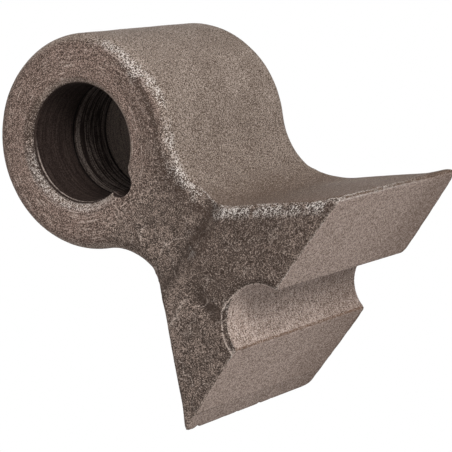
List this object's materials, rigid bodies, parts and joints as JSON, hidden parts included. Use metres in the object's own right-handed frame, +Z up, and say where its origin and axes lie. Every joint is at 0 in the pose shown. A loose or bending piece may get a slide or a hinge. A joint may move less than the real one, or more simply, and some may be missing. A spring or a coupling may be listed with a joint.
{
  "type": "shredder hammer",
  "caption": "One-piece swinging hammer: a bored eye on a waisted neck above a wide foot whose striking lobes are parted by a half-round groove.",
  "frame": {"origin": "centre of the eye's bore, at mid-width", "axes": "+Y along the bore, +Z up from the foot to the eye with the hammer hanging as in use, +X across the two lobes"},
  "size_m": [0.0648, 0.0544, 0.0804],
  "materials": {
    "forged_steel": "as-forged and shot-blasted steel, warm grey-brown, with coarse scale on the end faces and a darker bored wall"
  },
  "bodies": {
    "root": {"shredder_hammer": "forged_steel"}
  },
  "joints": []
}
